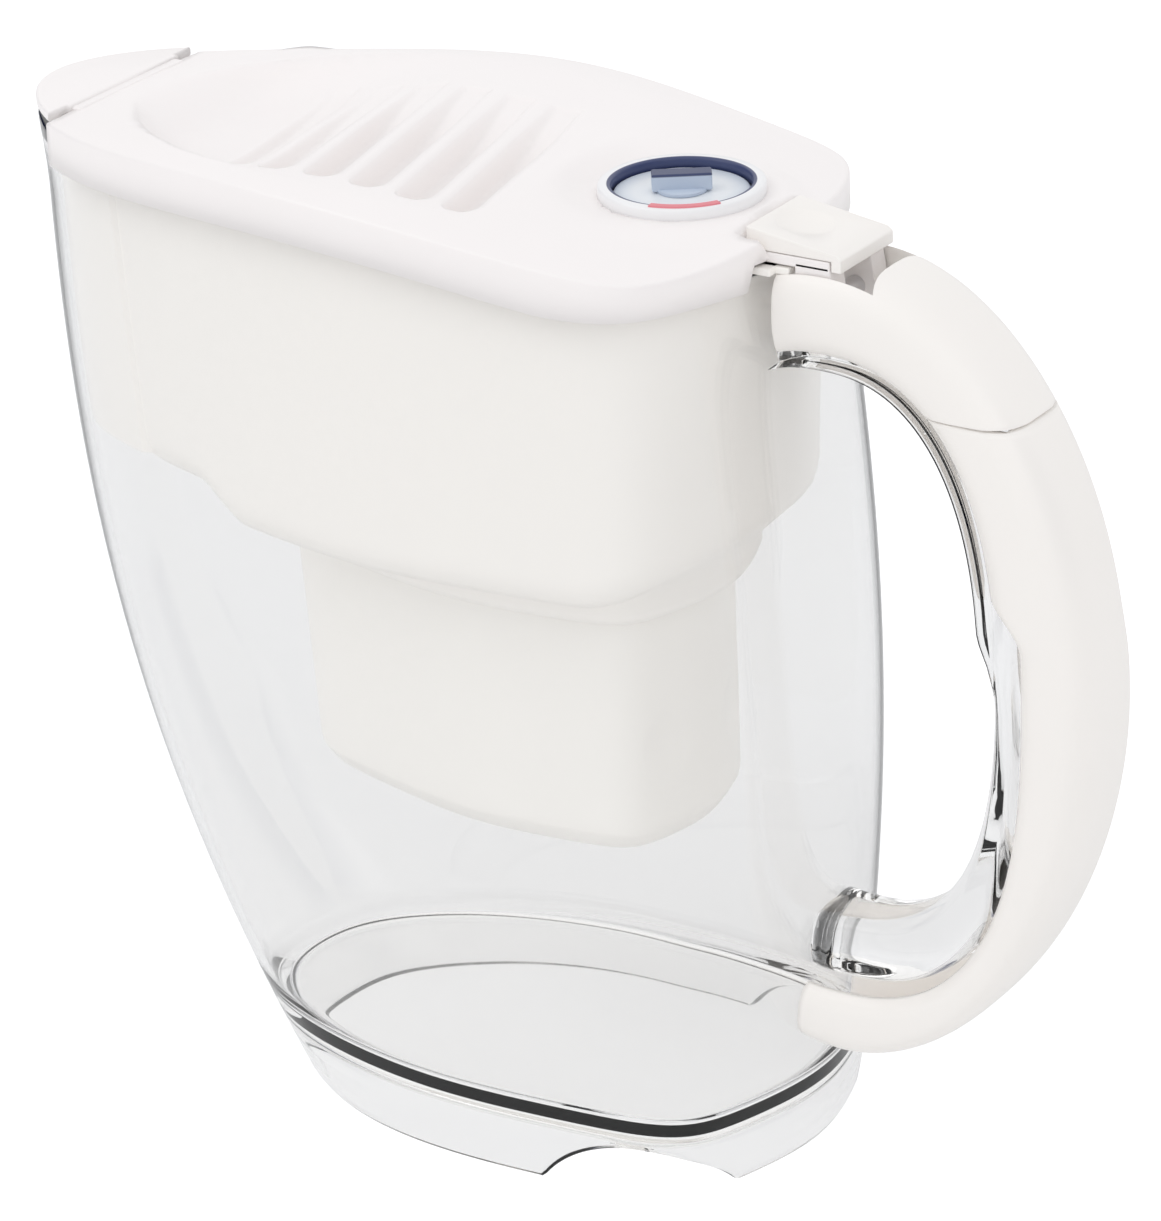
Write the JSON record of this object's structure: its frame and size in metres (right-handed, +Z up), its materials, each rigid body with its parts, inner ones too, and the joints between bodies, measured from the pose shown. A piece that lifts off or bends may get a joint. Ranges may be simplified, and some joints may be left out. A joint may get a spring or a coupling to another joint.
{
  "type": "water filter pitcher with flip lid",
  "caption": "Clear teardrop jug with a lift-out hopper, hinged lid with pouring flap and month dial, hanging filter cartridge and a curved rear handle.",
  "frame": {"origin": "on the table plane, on the symmetry plane, between the spout and the handle", "axes": "+Z up, +X toward the handle, -X toward the spout, the symmetry plane is y = 0"},
  "size_m": [0.2968, 0.1164, 0.2462],
  "materials": {
    "clear_plastic": "clear polished plastic with a slight blue tint",
    "hopper_plastic": "cream white smooth plastic",
    "cream_plastic": "warm white satin plastic",
    "lid_plastic": "warm white satin plastic",
    "white_plastic": "white moulded plastic",
    "slate_plastic": "dark blue-grey plastic",
    "pale_blue_plastic": "pale blue plastic",
    "navy_plastic": "navy plastic",
    "red_ink": "pinkish red inlay",
    "steel": "ground steel pin",
    "seal_rubber": "soft grey silicone",
    "mesh_plastic": "fine plastic mesh",
    "carbon": "packed dark grains"
  },
  "bodies": {
    "jug": {"jug_body": "clear_plastic", "jug_skirt": "clear_plastic", "handle_rail": "clear_plastic", "grip_shell": "cream_plastic"},
    "hopper": {"hopper": "hopper_plastic", "hopper_fins": "hopper_plastic", "handle_cap": "cream_plastic", "hinge_pin": "steel"},
    "lid": {"lid_shell": "lid_plastic", "lid_skirt": "lid_plastic", "thumb_tab": "cream_plastic", "flap_pin": "steel", "dial_bezel": "slate_plastic", "dial_mark": "red_ink"},
    "flap": {"spout_flap": "lid_plastic"},
    "dial": {"dial_disc": "pale_blue_plastic", "dial_pointer": "navy_plastic", "dial_clip": "white_plastic"},
    "cartridge": {"cartridge_housing": "white_plastic", "cartridge_cap": "white_plastic", "cartridge_seal": "seal_rubber", "upper_screen": "mesh_plastic", "media_bed": "carbon", "lower_screen": "mesh_plastic"}
  },
  "joints": [
    {"name": "hopper_lift", "type": "slide", "parent": "jug", "child": "hopper", "axis": [0, 0, 1], "range_m": [0, 0.18]},
    {"name": "lid_hinge", "type": "hinge", "parent": "hopper", "child": "lid", "pos_m": [0.0905, 0, 0.222], "axis": [0, 1, 0], "range_deg": [0, 70]},
    {"name": "flap_hinge", "type": "hinge", "parent": "lid", "child": "flap", "pos_m": [-0.1102, 0, 0.23962], "axis": [0, 1, 0], "range_deg": [0, 60]},
    {"name": "dial_turn", "type": "hinge", "parent": "lid", "child": "dial", "pos_m": [0.048, 0, 0.238], "axis": [0, 0, 1], "continuous": true},
    {"name": "cartridge_lift", "type": "slide", "parent": "hopper", "child": "cartridge", "axis": [0, 0, 1], "range_m": [0, 0.045]}
  ]
}
